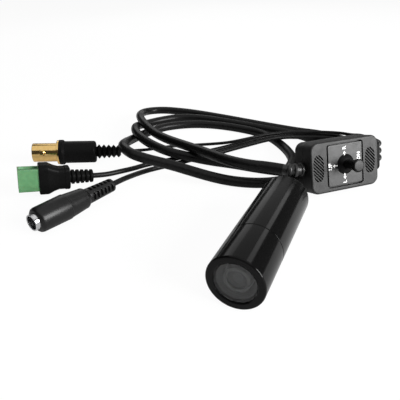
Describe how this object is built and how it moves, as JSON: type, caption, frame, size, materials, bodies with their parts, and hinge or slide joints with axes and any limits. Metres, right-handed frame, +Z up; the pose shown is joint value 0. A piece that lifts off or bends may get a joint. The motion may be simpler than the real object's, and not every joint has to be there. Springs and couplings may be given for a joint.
{
  "type": "tube security camera",
  "caption": "Slim black cylindrical bullet camera with a glazed front, its cord coiled beside an in-line joystick menu controller and pigtails for video, control and power.",
  "frame": {"origin": "on the floor under the middle of the camera tube, which lies on its side", "axes": "+Y along the tube from its window to its cable gland, +Z up, +X to the right of someone who looks along +Y"},
  "size_m": [0.1683, 0.1715, 0.0253],
  "materials": {
    "black_anodised": "gloss",
    "black_rubber": "matte",
    "clear_glass": "gloss",
    "lens_glass": "gloss",
    "black_metal": "matte",
    "matte_black": "matte",
    "sensor_grey": "satin",
    "board_green": "satin",
    "brass_parts": "satin",
    "steel_parts": "gloss",
    "socket_white": "satin",
    "cable_black": "satin",
    "box_black": "matte",
    "stick_black": "satin",
    "plug_gold": "gloss",
    "plug_black": "satin",
    "plug_green": "satin"
  },
  "bodies": {
    "camera_and_cords": {"front_barrel": "black_anodised", "rear_barrel": "black_anodised", "barrel_seal": "black_rubber", "window_gasket": "black_rubber", "window_glass": "clear_glass", "lens_front": "lens_glass", "lens_rear": "lens_glass", "window_ring": "black_metal", "carrier_ring": "black_metal", "lens_barrel": "black_metal", "baffle_sleeve": "matte_black", "lens_holder": "matte_black", "dc_insulator": "matte_black", "image_sensor": "sensor_grey", "sensor_board": "board_green", "signal_board": "board_green", "controller_board": "board_green", "board_posts": "brass_parts", "board_screws": "steel_parts", "controller_screws": "steel_parts", "press_dome": "steel_parts", "plug_pins": "steel_parts", "dc_pin": "steel_parts", "dc_sleeve": "steel_parts", "wire_socket": "socket_white", "bnc_insulator": "socket_white", "cable_gland": "cable_black", "camera_cable": "cable_black", "video_cable": "cable_black", "data_cable": "cable_black", "power_cable": "cable_black", "left_boot": "cable_black", "right_boot": "cable_black", "controller_front": "box_black", "controller_rear": "box_black", "controller_plate": "box_black", "stick_cradle": "stick_black", "bnc_shell": "plug_gold", "bnc_contact": "plug_gold", "bnc_body": "plug_black", "plug_hood": "plug_black", "dc_body": "plug_black", "plug_block": "plug_green"},
    "gimbal_ring": {"stick_ring": "stick_black"},
    "gimbal_block": {"stick_block": "socket_white"},
    "joystick": {"stick_shaft": "steel_parts", "stick_knob": "stick_black"}
  },
  "joints": [
    {"name": "joystick_up_down", "type": "hinge", "parent": "camera_and_cords", "child": "gimbal_ring", "pos_m": [0.01606, 0.06335, 0.01368], "axis": [0.7034, 0.7108, 0], "range_deg": [-18, 18], "stiffness_Nm_per_rad": 0.02},
    {"name": "joystick_left_right", "type": "hinge", "parent": "gimbal_ring", "child": "gimbal_block", "pos_m": [0.01606, 0.06335, 0.01368], "axis": [-0.2161, 0.2139, 0.9527], "range_deg": [-18, 18], "stiffness_Nm_per_rad": 0.02},
    {"name": "joystick_press", "type": "slide", "parent": "gimbal_block", "child": "joystick", "axis": [-0.6772, 0.6701, -0.304], "range_m": [0, 0.0004], "stiffness_N_per_m": 2000, "springref_m": -0.0003}
  ]
}
